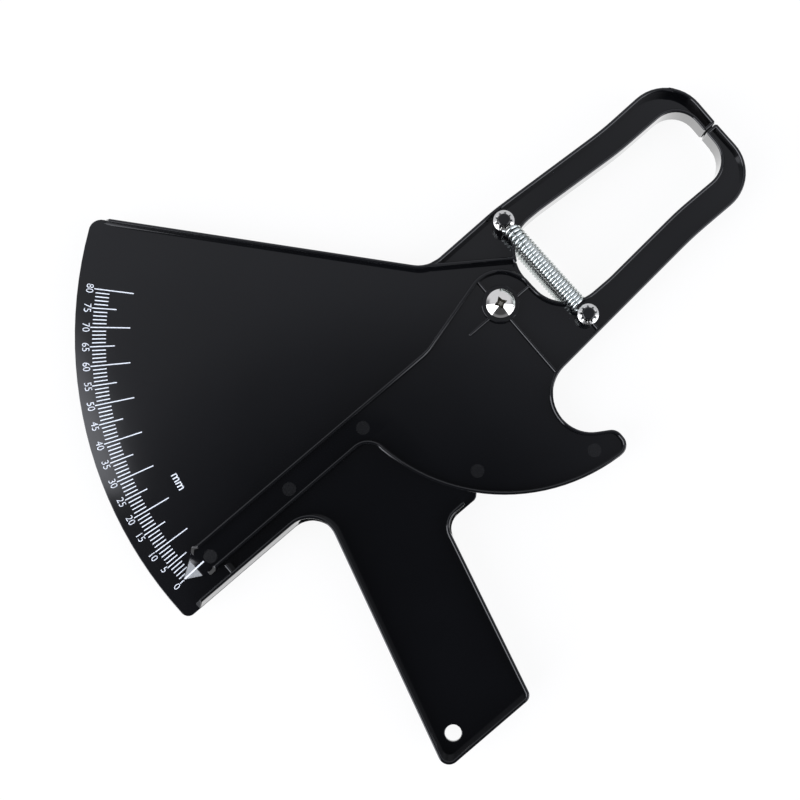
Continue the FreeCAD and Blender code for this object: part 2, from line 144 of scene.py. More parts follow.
# --- Springs ------------------------------------------------------------------
SPRING_R = 3.5
WIRE_R = 0.64
SPRING_LEVEL = 10.2
HOOK_R = 3.3
HOOK_SWEEP_DEG = 335
HOOK_STEP_DEG = 10
FRAME_NECK = 4.6  # from a peg's axis to the turns beside it
LEVER_NECK = 5.0
COILS = 28
COIL_STARTS = 0.5  # from the frame's neck to the first turn
COIL_DEGREES = (160, 185)  # where the first turn begins and the last one ends
COIL_SIDES = 24
# From the frame's hook to the first turn, and from the last turn to the lever's hook.
LEAD_IN = [(3.5, -0.5, 0.05), (3.8, -1.3, 0.3), (4.3, -2.1, 0.65)]
LEAD_OUT = [(1.0, -2.5, -0.4), (1.9, -1.7, -0.2), (2.6, -0.7, -0.05)]
LEAN = 2.2  # the first turn's top leans over the star ring by this much
YAW = 0.9  # and its left side is drawn this much towards the peg
LEAN_COILS = 5.5  # both die away over these turns

# --- Star rings ---------------------------------------------------------------
RING_R = 4.17
RING_BAND = 0.9  # width of the closed outer band
TOOTH_R = 2.6  # the teeth end here
BAND_LIFT = 0.18  # rise of the band from its outer edge to the teeth
TOOTH_LIFT = 0.4
RING_TEETH = 9
SIDES_PER_TOOTH = 8
SLOT_SIDES = 3  # of each tooth's sides, these are the open slot
RING_SHEET = 0.35
RING_ROUND = 0.08
RING_TURNS = {
    "front_retainer_frame": -7.1,
    "front_retainer_lever": 6.0,
    "rear_retainer_frame": 19.0,
    "rear_retainer_lever": 32.0,
}

# --- Printed scale ------------------------------------------------------------
SCALE_MAX = 80
SCALE_CENTRE = Vector((-24.9, 0.7))  # circle that the long ticks end on
SCALE_R = 146.7
SCALE_START_DEG = 180.38  # direction of the zero tick's outer end from the pivot
SCALE_STEP_DEG = 0.5421
TICK_START_DEG = 2.42  # direction in which the zero tick runs inwards
TICK_TURN_DEG = 0.627
TICK_LENGTHS = {10: 16.2, 5: 10.1, 1: 5.6}
TICK_SET_IN = {10: 0.0, 5: 0.0, 1: 0.9}
TICK_WIDTH = 0.42
DIGIT_HEIGHT = 2.95
DIGIT_NARROW = 0.9
DIGIT_WEIGHT = -0.004
DIGIT_GAP = 0.2
DIGIT_SHIFTS = {5: (0.5, 0.3), 10: (-0.15, -1.2)}  # where the print strays from the ticks
UNIT_CENTRE = Vector((-145.5, 30.8))
UNIT_HEIGHT = 2.55
UNIT_DEGREES = -101.75
UNIT_WEIGHT = 0.008

# --- Pointer print ------------------------------------------------------------
PATCH = [(-168.9, -1.0), (-162.1, 3.15), (-162.1, -4.75)]
INDEX_LINE = [(-168.6, -1.05), (-157.9, -0.7)]
INDEX_WIDTH = 0.62


def at(x, y, z=0.0):
    return PIVOT + Vector((x, y, z)) * MM


def middle(node):
    low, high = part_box(node)
    return (low + high) / 2


# --- Modelling helpers --------------------------------------------------------
def only(piece):
    """Make one object the selected and active one."""
    bpy.ops.object.select_all(action="DESELECT")
    piece.select_set(True)
    bpy.context.view_layer.objects.active = piece
    return piece


def made(name):
    """The object that the last operator added, under its own name."""
    piece = bpy.context.object
    piece.name = name
    piece.data.name = name
    return only(piece)


def settle(piece):
    """Bring an object's place, turn and scale into its mesh."""
    only(piece)
    bpy.ops.object.transform_apply(location=True, rotation=True, scale=True)
    return piece


def edit(piece):
    only(piece)
    bpy.ops.object.mode_set(mode="EDIT")


def leave():
    bpy.ops.object.mode_set(mode="OBJECT")


def pick(piece, kind, test):
    """In edit mode, select the elements of a kind (VERT, EDGE or FACE) that pass a test."""
    bpy.ops.mesh.select_mode(type=kind)
    bpy.ops.mesh.select_all(action="DESELECT")
    mesh = bmesh.from_edit_mesh(piece.data)
    parts = {"VERT": mesh.verts, "EDGE": mesh.edges, "FACE": mesh.faces}[kind]
    chosen = [part for part in parts if test(part)]
    for part in chosen:
        part.select_set(True)
    mesh.select_flush_mode()
    bmesh.update_edit_mesh(piece.data)
    return len(chosen)


def shift_corner(piece, corner, step):
    """In edit mode, move the corners at a place by a step in millimetres."""
    pick(piece, "VERT", lambda vert: (vert.co - corner).length < CORNER_REACH * MM)
    bpy.ops.transform.translate(value=[part * MM for part in step])


def modify(piece, kind, **settings):
    """Add a modifier and apply it."""
    only(piece)
    modifier = piece.modifiers.new(kind.title(), kind)
    for name, value in settings.items():
        setattr(modifier, name, value)
    bpy.ops.object.modifier_apply(modifier=modifier.name)
    return piece


def smooth(piece, degrees):
    """Shade round surfaces smoothly, and keep the broad flat faces flat."""
    only(piece)
    bpy.ops.object.shade_smooth_by_angle(angle=math.radians(degrees))
    edit(piece)
    if pick(piece, "FACE", lambda face: face.calc_area() > BROAD_FACE):
        bpy.ops.mesh.faces_shade_flat()
    leave()
    return modify(piece, "WEIGHTED_NORMAL", keep_sharp=True, weight=100)


def joined(name, pieces):
    bpy.ops.object.select_all(action="DESELECT")
    for piece in pieces:
        piece.select_set(True)
    bpy.context.view_layer.objects.active = pieces[0]
    bpy.ops.object.join()
    return made(name)


def finished(piece, body, slot, finish, *nodes):
    """Give a piece its finish, tie it to its body, and hide the nodes it stands for."""
    piece.data.materials.clear()
    piece.data.materials.append(finish)
    if body:
        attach(piece, body)
    if nodes:
        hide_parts(*nodes)
    return piece


def turned(name, place, profile, sides):
    """A round piece, built up from its lowest disc by extruding the top face ring by ring.

    profile is a list of (radius, height) in millimetres above place.
    """
    radius, height = profile[0]
    bpy.ops.mesh.primitive_circle_add(
        vertices=sides,
        radius=radius * MM,
        fill_type="NGON",
        location=place + Vector((0, 0, height * MM)),
    )
    piece = settle(made(name))
    edit(piece)
    bpy.ops.mesh.select_all(action="SELECT")
    centre = Vector((place.x, place.y, 0))
    for new_radius, new_height in profile[1:]:
        rise = Vector((0, 0, (new_height - height) * MM))
        bpy.ops.mesh.extrude_region_move(TRANSFORM_OT_translate={"value": rise})
        scale = new_radius / radius
        bpy.ops.transform.resize(value=(scale, scale, 1), center_override=centre)
        radius, height = new_radius, new_height
    bpy.ops.mesh.select_all(action="SELECT")
    bpy.ops.mesh.normals_make_consistent(inside=False)
    leave()
    return piece


# --- Finishes: tools ----------------------------------------------------------
class Wire:
    """A node's output; arithmetic on it adds Math nodes."""

    def __init__(self, finish, socket):
        self.finish = finish
        self.socket = socket

    def math(self, operation, first, second):
        values = {0: first, 1: second}
        return self.finish.node("ShaderNodeMath", {"operation": operation}, values)

    def __add__(self, other):
        return self.math("ADD", self, other)

    def __radd__(self, other):
        return self.math("ADD", other, self)

    def __sub__(self, other):
        return self.math("SUBTRACT", self, other)

    def __rsub__(self, other):
        return self.math("SUBTRACT", other, self)

    def __mul__(self, other):
        return self.math("MULTIPLY", self, other)

    def __rmul__(self, other):
        return self.math("MULTIPLY", other, self)

    def __truediv__(self, other):
        return self.math("DIVIDE", self, other)

    def __rtruediv__(self, other):
        return self.math("DIVIDE", other, self)

    def __abs__(self):
        return self.finish.single("ABSOLUTE", self)

    def __neg__(self):
        return self.math("MULTIPLY", self, -1.0)


class Finish:
    """Adds nodes to a material's or the world's tree and links them."""

    def __init__(self, owner):
        owner.use_nodes = True
        self.nodes = owner.node_tree.nodes
        self.links = owner.node_tree.links

    def node(self, kind, settings=None, inputs=None, output=0):
        node = self.nodes.new(kind)
        for name, value in (settings or {}).items():
            setattr(node, name, value)
        for name, value in (inputs or {}).items():
            self.feed(node.inputs[name], value)
        return Wire(self, node.outputs[output])

    def feed(self, socket, value):
        if isinstance(value, Wire):
            self.links.new(value.socket, socket)
        else:
            socket.default_value = value

    def single(self, operation, value):
        return self.node("ShaderNodeMath", {"operation": operation}, {0: value})

    def coordinates(self, kind="Object"):
        return self.node("ShaderNodeTexCoord", output=kind)

    def part(self, vector, axis):
        """One of a vector's parts, X, Y or Z."""
        return self.node("ShaderNodeSeparateXYZ", {}, {0: vector}, axis)

    def measure(self, operation, first, second):
        """The distance between two places, or another number got from two vectors."""
        values = {0: first, 1: second}
        return self.node("ShaderNodeVectorMath", {"operation": operation}, values, "Value")

    def rise(self, value, low, high):
        """Nought below low, one above high, and a soft step between."""
        return self.node(
            "ShaderNodeMapRange",
            {"interpolation_type": "SMOOTHSTEP"},
            {"Value": value, "From Min": low, "From Max": high},
        )

    def ramp(self, value, stops):
        """The colour that a list of (position, colour) gives for a value."""
        ramp = self.node("ShaderNodeValToRGB", {}, {"Fac": value})
        elements = ramp.socket.node.color_ramp.elements
        while len(elements) < len(stops):
            elements.new(0.5)
        for element, (position, colour) in zip(elements, stops):
            element.position = position
            element.color = colour
        return ramp

    def noise(self, scale, detail=2.0):
        """Noise over the piece's own coordinates; scale is features per metre."""
        sizes = {"Vector": self.coordinates(), "Scale": scale, "Detail": detail}
        return self.node("ShaderNodeTexNoise", {}, sizes)

    def bump(self, height, depth, strength=1.0):
        values = {"Height": height, "Distance": depth, "Strength": strength}
        return self.node("ShaderNodeBump", {}, values)


def new_finish(name, colour, **constants):
    """A new Principled material with its plain values set, and the helper that adds to it."""
    material = bpy.data.materials.new(name)
    finish = Finish(material)
    surface = finish.nodes["Principled BSDF"]
    surface.inputs["Base Color"].default_value = colour
    for socket, value in constants.items():
        surface.inputs[socket.replace("_", " ")].default_value = value
    return material, finish, surface


# --- Finishes: colours, roughness and how they vary ---------------------------
PLASTIC = (0.0026, 0.0027, 0.0034, 1.0)
PLASTIC_STOPS = [(0.3, (0.0020, 0.0022, 0.0028, 1.0)), (0.7, (0.0030, 0.0032, 0.0041, 1.0))]
COAT_ROUGHNESS = 0.04
FLOW = (18.0, 3.0)  # slow waves in the plastic: features per metre, and detail
GRAIN = 900.0
WAVE = 0.015  # height of both together, in millimetres
WAVE_GRAIN = 0.02  # share of the grain in it
GLOSS = 0.03  # roughness of walls and rims
GLOSS_GRAIN = 0.01
WEB_DULLNESS = 0.015  # what the webs add to it
WEB_FLOW = 0.03
MARK_DULLNESS = 0.15
JAW_DULLNESS = 0.6
WEB_FACING = (0.8, 0.97)  # how far a web faces up or down
WALL_FACING = (0.15, 0.4)  # and a wall, which has the coat

NICKEL = (0.78, 0.76, 0.72, 1.0)
# Painted shade: the colour that the driver's recess is darkened to
NICKEL_PAINTED_SHADE = (0.24, 0.23, 0.2, 1.0)
RECESS_SPAN = (3.9, 4.2)  # the recess ends between these
RECESS_START = (0.1, 0.3)  # depth below the dome at which it begins
RECESS_FLOOR = (3.0, 2.5)  # depth below the head's top that is left bright again
NICKEL_CLOUD = (400.0, 3.0)
NICKEL_ROUGHNESS = (0.05, 0.1)
RECESS_DULLNESS = 0.3

CLOUD_DETAIL = 3.0
PIT_SCALE = 6  # pits in plated steel are this much finer than its clouds
PIT_DEPTH = 0.01
PIT_STRENGTH = 0.25

INK_ROUGHNESS = 0.45
INK_WEAR = 1500.0
INK_THIN = 0.88  # brightness where the ink is thin
INK_STOPS = (0.35, 0.6)

NYLON_COLOUR = (0.75, 0.74, 0.7, 1.0)
NYLON_CLOUD = 300.0
NYLON_ROUGHNESS = (0.35, 0.5)


def black_plastic(name, marks=(), warp=0.0):
    """Glossy black moulded plastic: webs a little duller than the drawn walls and rims.

    marks are the places where ejector pins left a dull disc, and warp is the slope by
    which the pointer's long arm lies askew.
    """
    material, finish, surface = new_finish(name, PLASTIC, Coat_Roughness=COAT_ROUGHNESS)
    flow = finish.noise(*FLOW)
    grain = finish.noise(GRAIN)
    facing = abs(finish.part(finish.coordinates("Normal"), "Z"))
    place = finish.coordinates()
    along = finish.part(place, "X") - PIVOT.x
    across = finish.part(place, "Y") - PIVOT.y

    dull = WEB_DULLNESS + flow * WEB_FLOW
    for x, y in marks:
        span = finish.measure("DISTANCE", place, at(x, y, LEVER_WEB_TOP - MARK_DEPTH))
        outside = finish.rise(span, (MARK_R - MARK_FADE) * MM, MARK_R * MM)
        dull = dull + (1 - outside) * MARK_DULLNESS
    jaw = 1 - finish.rise(abs(across - JAW_LINE_Y * MM), JAW_BAND[0] * MM, JAW_BAND[1] * MM)
    jaw = jaw * finish.rise(along, JAW_REACH[0] * MM, JAW_REACH[1] * MM)
    web = finish.rise(facing, *WEB_FACING)
    rough = GLOSS + grain * GLOSS_GRAIN + web * dull + jaw * JAW_DULLNESS
    finish.feed(surface.inputs["Roughness"], rough)
    coat = (1 - finish.rise(facing, *WALL_FACING)) * (1 - jaw)
    finish.feed(surface.inputs["Coat Weight"], coat)
    finish.feed(surface.inputs["Base Color"], finish.ramp(flow, PLASTIC_STOPS))

    height = (flow + grain * WAVE_GRAIN) * WAVE * MM
    if warp:
        arm = 1 - finish.rise(along, ARM_END[0] * MM, ARM_END[1] * MM)
        limits = {"Value": across, "Min": -ARM_HALF * MM, "Max": ARM_HALF * MM}
        height = height + finish.node("ShaderNodeClamp", {}, limits) * arm * warp
    finish.feed(surface.inputs["Normal"], finish.bump(height, 1.0))
    return material


def bright_metal(name, colour, roughness, cloud):
    """Plated steel whose gloss varies between two roughness values, in clouds per metre."""
    material, finish, surface = new_finish(name, colour, Metallic=1.0)
    low, high = roughness
    rough = low + finish.noise(cloud, CLOUD_DETAIL) * (high - low)
    finish.feed(surface.inputs["Roughness"], rough)
    pits = finish.bump(finish.noise(cloud * PIT_SCALE, 1.0), PIT_DEPTH * MM, PIT_STRENGTH)
    finish.feed(surface.inputs["Normal"], pits)
    return material


def screw_nickel(name):
    """Bright nickel, duller inside the driver's recess and painted darker there as shade."""
    material, finish, surface = new_finish(name, NICKEL, Metallic=1.0)
    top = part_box("pivot_screw")[1].z
    axis = middle("pivot_screw")
    place = finish.coordinates()
    height = finish.part(place, "Z")
    flat = finish.node(
        "ShaderNodeVectorMath", {"operation": "MULTIPLY"}, {0: place, 1: (1, 1, 0)}
    )
    span = finish.measure("DISTANCE", flat, (axis.x, axis.y, 0)) / MM
    below_dome = (top - height) / MM - span * span / (2 * DOME_R)
    inside = finish.rise(below_dome, *RECESS_START) * (1 - finish.rise(span, *RECESS_SPAN))
    floor_low, floor_high = [(top - depth * MM) / MM for depth in RECESS_FLOOR]
    inside = inside * finish.rise(height / MM, floor_low, floor_high)
    low, high = NICKEL_ROUGHNESS
    rough = low + finish.noise(*NICKEL_CLOUD) * (high - low) + inside * RECESS_DULLNESS
    finish.feed(surface.inputs["Roughness"], rough)
    # Painted shade: inside the recess the nickel's colour darkens towards the shaded one
    shade = finish.ramp(inside, [(0.0, NICKEL), (1.0, NICKEL_PAINTED_SHADE)])
    finish.feed(surface.inputs["Base Color"], shade)
    return material


def print_ink(name, colour):
    """Screen-printed ink, slightly uneven."""
    material, finish, surface = new_finish(name, colour, Roughness=INK_ROUGHNESS)
    thin = (*(value * INK_THIN for value in colour[:3]), 1.0)
    shade = finish.ramp(finish.noise(INK_WEAR), list(zip(INK_STOPS, (thin, colour))))
    finish.feed(surface.inputs["Base Color"], shade)
    return material


def nylon(name):
    material, finish, surface = new_finish(name, NYLON_COLOUR)
    low, high = NYLON_ROUGHNESS
    finish.feed(surface.inputs["Roughness"], low + finish.noise(NYLON_CLOUD) * (high - low))
    return material


BLACK = black_plastic("black_moulding")
BLACK_LEVER = black_plastic("black_lever_moulding", EJECTOR_MARKS, ARM_WARP)
SCREW_NICKEL = screw_nickel("screw_nickel")
RING_NICKEL = bright_metal("ring_nickel", (0.66, 0.65, 0.62, 1.0), (0.16, 0.28), cloud=600.0)
SPRING_ZINC = bright_metal("spring_zinc", (0.6, 0.64, 0.63, 1.0), (0.15, 0.21), cloud=500.0)
NUT_ZINC = bright_metal("nut_zinc", (0.62, 0.62, 0.6, 1.0), (0.25, 0.4), cloud=500.0)
SCALE_INK = print_ink("scale_ink", (0.8, 0.84, 0.9, 1.0))
POINTER_INK = print_ink("pointer_ink", (0.23, 0.24, 0.245, 1.0))
NYLON = nylon("nylon_washer")


# --- Mouldings ----------------------------------------------------------------
MERGE = 0.001  # corners this close become one
FLAT_DEG = 0.5  # faces that bend less become one
PROBES = (0.15, 0.5, 0.85)  # where along an edge the width of its face is taken


def width(loop):
    """How far a face runs inwards from one of its edges at the narrowest, in millimetres."""
    start = loop.vert.co
    end = loop.link_loop_next.vert.co
    along = (end - start).normalized()
    inward = loop.face.normal.cross(along)
    narrowest = math.inf
    for share in PROBES:
        place = start.lerp(end, share)
        for other in loop.face.loops:
            near = other.vert.co - place
            far = other.link_loop_next.vert.co - place
            before, after = near.dot(along), far.dot(along)
            if other is loop or before * after > 0 or before == after:
                continue
            distance = near.lerp(far, before / (before - after)).dot(inward)
            if distance > 0:
                narrowest = min(narrowest, distance)
    return narrowest / MM


def round_edges(piece, least, most, rounding, segments):
    """Bevel the outward edges whose narrower face is between two widths."""

    def wanted(edge):
        if len(edge.link_faces) != 2 or not edge.is_convex:
            return False
        place = (edge.verts[0].co + edge.verts[1].co) / 2 - PIVOT
        if place.xy.length < HUB_R * MM and place.z < HUB_BACK * MM:
            return False
        if edge.calc_face_angle() < math.radians(SHARP_DEG):
            return False
        return least < min(width(loop) for loop in edge.link_loops) <= most

    edit(piece)
    if pick(piece, "EDGE", wanted):
        bpy.ops.mesh.bevel(
            offset=rounding * MM, segments=segments, affect="EDGES", clamp_overlap=False
        )
    leave()


def lean_foot_wall(piece):
    """Lean the outer wall of the sector's foot outwards, down to the edge of the ledge."""

    def on_ledge(vert):
        x, y, z = (vert.co - PIVOT) / MM
        level = FRAME_WEB_TOP - LEDGE_DROP < z < FRAME_WEB_TOP + NEAR
        beside = LEDGE_Y - NEAR < y < LEDGE_Y + LEDGE_WIDTH
        return LEDGE_X[0] < x < LEDGE_X[1] and beside and level

    edit(piece)
    pick(piece, "VERT", on_ledge)
    bpy.ops.transform.resize(value=(1, LEDGE_KEPT, 1), center_override=at(0, LEDGE_Y))
    for (x, y), step in FOOT_WALL.items():
        shift_corner(piece, at(x, y, FRAME_WEB_TOP), (0, -step, 0))
    leave()


def raise_spur(piece):
    """Keep the top of the spur beside the pivot's boss nearly level."""
    edit(piece)
    for x, y in SPUR_END:
        shift_corner(piece, at(x, y, SPUR_LOW), (0, 0, SPUR_LIFT))
    leave()


def moulding(name, node, body, slot, finish, *kinds):
    """The node's own shape with its outward edges rounded, one kind of edge after another."""
    piece = bpy.data.objects.new(name, frame["nodes"][node].data.copy())
    piece.data.name = name
    bpy.context.scene.collection.objects.link(piece)
    only(piece)
    bpy.ops.mesh.customdata_custom_splitnormals_clear()
    edit(piece)
    bpy.ops.mesh.select_all(action="SELECT")
    bpy.ops.mesh.remove_doubles(threshold=MERGE * MM)
    bpy.ops.mesh.dissolve_limited(angle_limit=math.radians(FLAT_DEG))
    leave()
    if node == "lever":
        raise_spur(piece)
    for kind in kinds:
        round_edges(piece, *kind)
    if node == "body_frame":
        lean_foot_wall(piece)
    smooth(piece, SMOOTH_DEG)
    return finished(piece, body, slot, finish, node)


# --- Printed scale ------------------------------------------------------------
def heading(degrees):
    angle = math.radians(degrees)
    return Vector((math.cos(angle), math.sin(angle)))


def tick_start(value):
    """Where a long tick of this value has its outer end, in millimetres from the pivot."""
    ray = heading(SCALE_START_DEG - SCALE_STEP_DEG * value)
    along = ray.dot(SCALE_CENTRE)
    distance = along + math.sqrt(along**2 - SCALE_CENTRE.length_squared + SCALE_R**2)
    return ray * distance


def tick_degrees(value):
    return TICK_START_DEG - TICK_TURN_DEG * value


def printed(piece, body, slot, ink):
    """Give a flat print its thickness, downwards from its face."""
    modify(piece, "SOLIDIFY", thickness=INK * MM, offset=-1)
    return finished(piece, body, slot, ink)


def scale_ticks():
    bars = []
    for value in range(SCALE_MAX + 1):
        kind = 10 if value % 10 == 0 else 5 if value % 5 == 0 else 1
        length = TICK_LENGTHS[kind]
        inward = heading(tick_degrees(value))
        centre = tick_start(value) + inward * (TICK_SET_IN[kind] + length / 2)
        bpy.ops.mesh.primitive_plane_add(
            size=1,
            location=at(centre.x, centre.y, FRAME_WEB_TOP + INK),
            rotation=(0, 0, math.radians(tick_degrees(value))),
        )
        bar = made("tick")
        bar.scale = (length * MM, TICK_WIDTH * MM, 1)
        bars.append(settle(bar))
    return printed(joined("scale_ticks", bars), "frame", "frame_plastic", SCALE_INK)


def lettering(text, height, centre, degrees, weight):
    """Flat lettering of a given height, centred on a place of the frame's web."""
    bpy.ops.object.text_add()
    label = bpy.context.object
    label.data.body = text
    label.data.offset = weight
    label.data.align_x = "CENTER"
    only(label)
    bpy.ops.object.convert(target="MESH")
    heights = [vert.co.y for vert in label.data.vertices]
    widths = [vert.co.x for vert in label.data.vertices]
    size = height * MM / (max(heights) - min(heights))
    shift = (-(max(widths) + min(widths)) / 2, -(max(heights) + min(heights)) / 2, 0)
    label.data.transform(Matrix.Translation(shift))
    label.scale = (size * DIGIT_NARROW, size, size)
    label.rotation_euler = (0, 0, math.radians(degrees))
    label.location = at(centre.x, centre.y, FRAME_WEB_TOP + INK)
    return settle(label)


def scale_numbers():
    labels = []
    for value in range(0, SCALE_MAX + 1, 5):
        inward = tick_degrees(value)
        centre = tick_start(value) - heading(inward) * (DIGIT_GAP + DIGIT_HEIGHT / 2)
        centre += Vector(DIGIT_SHIFTS.get(value, (0.0, 0.0)))
        labels.append(lettering(str(value), DIGIT_HEIGHT, centre, inward - 90, DIGIT_WEIGHT))
    return printed(joined("scale_numbers", labels), "frame", "frame_plastic", SCALE_INK)


def unit_mark():
    lettering("mm", UNIT_HEIGHT, UNIT_CENTRE, UNIT_DEGREES, UNIT_WEIGHT)
    return printed(made("unit_mark"), "frame", "frame_plastic", SCALE_INK)


# --- Pointer print ------------------------------------------------------------
def tip_height(x):
    """Height of the pointer's face, level and then sloping down to the tip."""
    if x > TIP_BEVEL_X:
        return LEVER_WEB_TOP
    slope = (LEVER_WEB_TOP - LEVER_TIP_TOP) / (TIP_BEVEL_X - TIP_X)
    return LEVER_WEB_TOP + (x - TIP_BEVEL_X) * slope


def pointer_patch():
    """Pale triangle on the sloping tip."""
    bpy.ops.mesh.primitive_circle_add(vertices=3, radius=MM, fill_type="NGON")
    piece = settle(made("pointer_patch"))
    for vert, (x, y) in zip(piece.data.vertices, PATCH):
        vert.co = at(x, y, tip_height(x) + INK)
    piece.data.update()
    if piece.data.polygons[0].normal.z < 0:
        piece.data.flip_normals()
    return printed(piece, "lever", "lever_plastic", POINTER_INK)


def index_line():
    """White line along the pointer, from its tip to the level part of its web."""
    start = Vector(INDEX_LINE[0])
    end = Vector(INDEX_LINE[1])
    along = (end - start).normalized()
    side = Vector((-along.y, along.x)) * (INDEX_WIDTH / 2)
    bend = start + along * ((TIP_BEVEL_X - start.x) / along.x)
    bpy.ops.mesh.primitive_grid_add(x_subdivisions=2, y_subdivisions=1, size=2)
    piece = settle(made("index_line"))
    stations = {-1: start, 0: bend, 1: end}
    for vert in piece.data.vertices:
        place = stations[round(vert.co.x)] + side * vert.co.y
        vert.co = at(place.x, place.y, tip_height(place.x) + 2 * INK)
    return printed(piece, "lever", "lever_plastic", SCALE_INK)


# --- Springs ------------------------------------------------------------------
def spring_hook():
    """Centre line of a hook round the frame's peg, from its free end to the turns."""
    points = []
    for degrees in range(HOOK_SWEEP_DEG, -1, -HOOK_STEP_DEG):
        angle = math.radians(degrees)
        points.append((HOOK_R * math.cos(angle), HOOK_R * math.sin(angle), 0))
    return points


def spring_turns(first, last):
    """Centre line of the turns between two places along the spring."""
    coil_r = SPRING_R - WIRE_R
    start_deg = COIL_DEGREES[0]
    end_deg = COILS * 360 + COIL_DEGREES[1]
    steps = COILS * COIL_SIDES
    points = []
    for k in range(steps + 1):
        degrees = start_deg + (end_deg - start_deg) * k / steps
        angle = math.radians(degrees)
        along = first + (last - first) * k / steps
        drawn = max(0.0, 1 - (degrees - start_deg) / 360 / LEAN_COILS)
        along += drawn * (YAW * math.cos(angle) - LEAN * (1 + math.sin(angle)) / 2)
        points.append((along, coil_r * math.cos(angle), coil_r * math.sin(angle)))
    return points


def spring_points():
    """Centre line of the wire: hook, turns and hook, as (along, side, up) in millimetres."""
    span = (middle("front_retainer_lever") - middle("front_retainer_frame")).length / MM
    last = span - LEVER_NECK - WIRE_R
    hook = spring_hook()
    points = hook + LEAD_IN + spring_turns(FRAME_NECK + COIL_STARTS, last)
    points += [(last + along, side, up) for along, side, up in LEAD_OUT]
    points += [(span - along, side, up) for along, side, up in reversed(hook)]
    return points


def spring(name, level, *nodes):
    """A close-coiled extension spring between the two pegs on one face."""
    start = middle("front_retainer_frame")
    finish = middle("front_retainer_lever")
    start.z = finish.z = PIVOT.z + level * MM
    along = (finish - start).normalized()
    up = Vector((0, 0, 1 if level > 0 else -1))
    side = Vector((0, 0, 1)).cross(along)
    curve = bpy.data.curves.new(name, "CURVE")
    curve.dimensions = "3D"
    curve.bevel_depth = WIRE_R * MM
    curve.bevel_resolution = 3
    curve.use_fill_caps = True
    curve.resolution_u = 1
    points = spring_points()
    spline = curve.splines.new("POLY")
    spline.points.add(len(points) - 1)
    for point, (a, s, u) in zip(spline.points, points):
        point.co = (*(start + (along * a + side * s + up * u) * MM), 1.0)
    piece = bpy.data.objects.new(name, curve)
    bpy.context.scene.collection.objects.link(piece)
    only(piece)
    bpy.ops.object.convert(target="MESH")
    piece = made(name)
    bpy.ops.object.shade_smooth()
    finished(piece, None, "spring_steel", SPRING_ZINC, *nodes)
    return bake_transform(piece)


# --- Star rings ---------------------------------------------------------------
def star_ring():
    """Push-on ring at the world's origin: a dished band whose teeth are bent upwards."""
    sides = RING_TEETH * SIDES_PER_TOOTH
    bpy.ops.mesh.primitive_circle_add(vertices=sides, radius=RING_R * MM, fill_type="NGON")
    piece = settle(made("star_ring"))
    edit(piece)
    bpy.ops.mesh.select_mode(type="FACE")
    bpy.ops.mesh.select_all(action="SELECT")
    bpy.ops.mesh.inset(thickness=RING_BAND * MM)
    bpy.ops.transform.translate(value=(0, 0, BAND_LIFT * MM))
    bpy.ops.mesh.inset(thickness=(RING_R - RING_BAND - TOOTH_R) * MM)
    bpy.ops.transform.translate(value=(0, 0, TOOTH_LIFT * MM))
    bpy.ops.mesh.delete(type="FACE")

    def in_slot(face):
        place = face.calc_center_median()
        turn = math.degrees(math.atan2(place.y, place.x)) % (360 / RING_TEETH)
        return place.xy.length < (RING_R - RING_BAND) * MM and turn < 360 / sides * SLOT_SIDES

    pick(piece, "FACE", in_slot)
    bpy.ops.mesh.delete(type="FACE")
    leave()
    modify(piece, "SOLIDIFY", thickness=RING_SHEET * MM, offset=1)
    rounding = {"width": RING_ROUND * MM, "angle_limit": math.radians(SMOOTH_DEG)}
    modify(piece, "BEVEL", segments=2, limit_method="ANGLE", **rounding)
    return smooth(piece, SMOOTH_DEG)


def star_rings():
    """One ring on each peg, front and rear."""
    pattern = star_ring()
    for node, degrees in RING_TURNS.items():
        piece = pattern.copy()
        piece.data = pattern.data.copy()
        piece.name = node.replace("retainer", "star_ring")
        bpy.context.scene.collection.objects.link(piece)
        low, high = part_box(node)
        rear = node.startswith("rear")
        piece.location = middle(node)
        piece.location.z = high.z if rear else low.z
        piece.rotation_euler = (math.pi if rear else 0, 0, math.radians(degrees))
        settle(piece)
        finished(piece, node.split("_")[-1], "retainer_steel", RING_NICKEL, node)
    bpy.data.objects.remove(pattern)


# --- Pivot screw --------------------------------------------------------------
def dome():
    """Rings of the domed head from its side to its middle, above its seat."""
    rise = HEAD_H - HEAD_EDGE
    edge = HEAD_R - HEAD_ROUND
    rings = [(HEAD_R - inwards, HEAD_EDGE - down) for inwards, down in HEAD_RIM]
    level = math.cos(math.radians(DOME_DEG))
    for k in range(1, DOME_STEPS):
        angle = math.radians(DOME_DEG * (1 - k / DOME_STEPS))
        radius = edge * math.sin(angle) / math.sin(math.radians(DOME_DEG))
        rings.append((radius, HEAD_EDGE + rise * (math.cos(angle) - level) / (1 - level)))
    rings.append((DOME_TOP_R, HEAD_H))
    return rings


def recess_cutters(place):
    """The driver's tip: two crossed lozenges that narrow downwards."""
    cutters = []
    for turn in (0, 90):
        bpy.ops.mesh.primitive_cone_add(
            vertices=4,
            radius1=RECESS_TAPER,
            radius2=2 - RECESS_TAPER,
            depth=2 * RECESS_DEPTH * MM,
        )
        cutter = made("cutter")
        cutter.scale = (RECESS_REACH * MM, RECESS_WAIST * MM, 1)
        settle(cutter)
        cutter.location = place
        cutter.rotation_euler = (0, 0, math.radians(turn + RECESS_TURN))
        cutters.append(settle(cutter))
    return cutters


